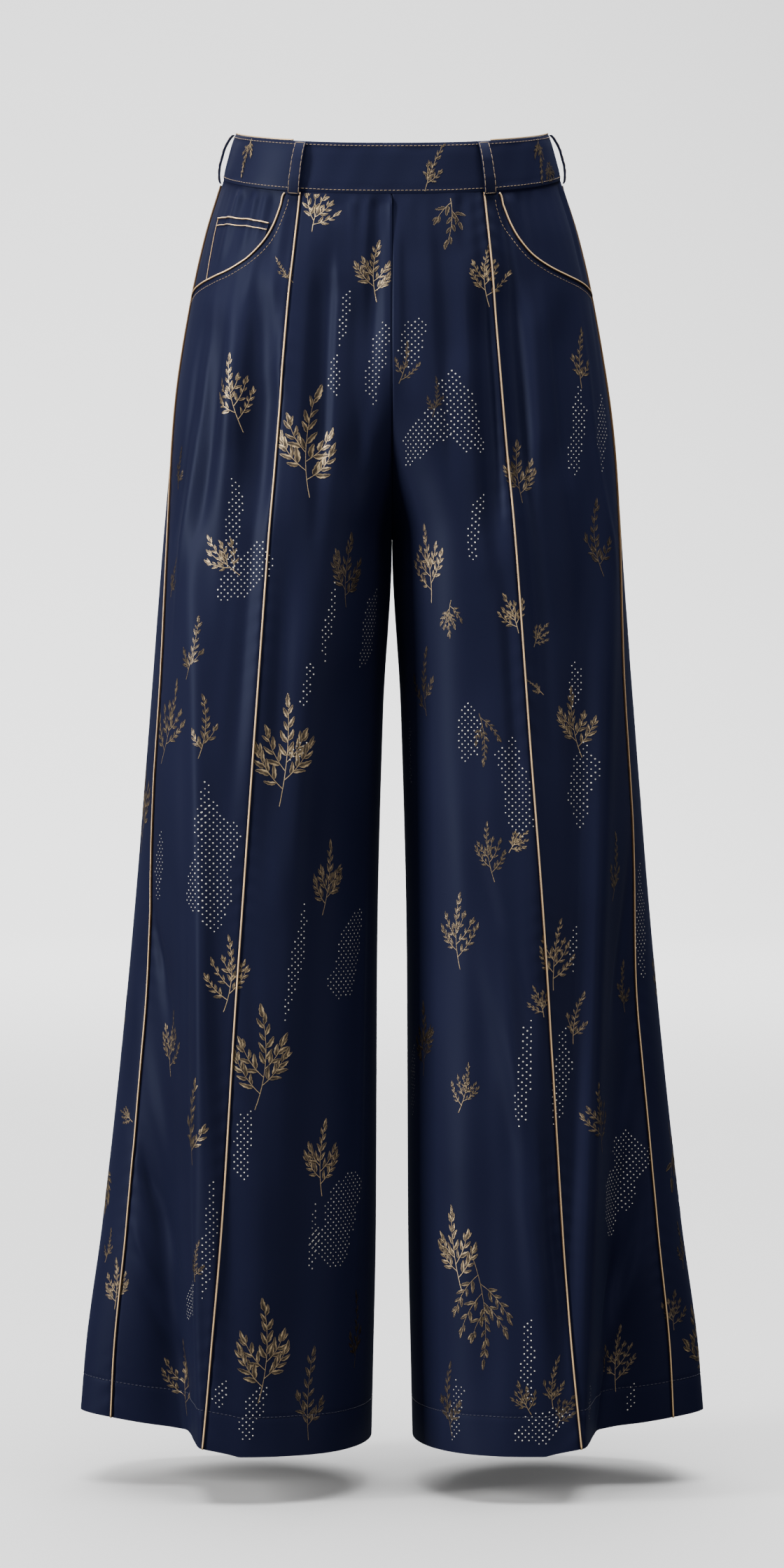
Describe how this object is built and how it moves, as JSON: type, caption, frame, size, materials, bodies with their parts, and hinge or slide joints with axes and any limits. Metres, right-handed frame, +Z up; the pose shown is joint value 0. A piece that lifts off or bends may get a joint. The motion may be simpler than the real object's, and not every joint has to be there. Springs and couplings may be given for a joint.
{
  "type": "palazzo pants",
  "caption": "High-waisted wide-leg satin trousers, filled out and empty, with scooped front pockets, belt loops, piped seams and a metallic leaf-sprig print.",
  "frame": {"origin": "centre of the waist, inside the waistband, half-way down the band at the sides, where a wearer's waist holds the garment", "axes": "+Z up, -Y the front of the garment, +X the wearer's left leg"},
  "size_m": [0.4984, 0.2569, 1.0425],
  "materials": {
    "navy_satin": "navy satin-faced crepe, soft sheen, printed with metallic foil sprigs and fine dots",
    "gold_piping": "old-gold satin-covered cord"
  },
  "bodies": {
    "root": {"front_inner_left": "navy_satin", "front_inner_right": "navy_satin", "front_side_left": "navy_satin", "front_side_right": "navy_satin", "back_panel_left": "navy_satin", "back_panel_right": "navy_satin", "pocket_yoke_left": "navy_satin", "pocket_yoke_right": "navy_satin", "coin_pocket": "navy_satin", "waistband_front": "navy_satin", "waistband_back": "navy_satin", "belt_loop_front_left": "navy_satin", "belt_loop_front_right": "navy_satin", "belt_loop_side_left": "navy_satin", "belt_loop_side_right": "navy_satin", "belt_loop_back": "navy_satin", "front_piping_left": "gold_piping", "front_piping_right": "gold_piping", "side_piping_left": "gold_piping", "side_piping_right": "gold_piping", "pocket_piping_left": "gold_piping", "pocket_piping_right": "gold_piping", "coin_pocket_piping": "gold_piping", "coin_pocket_side_piping": "gold_piping", "waist_piping": "gold_piping"}
  },
  "joints": []
}
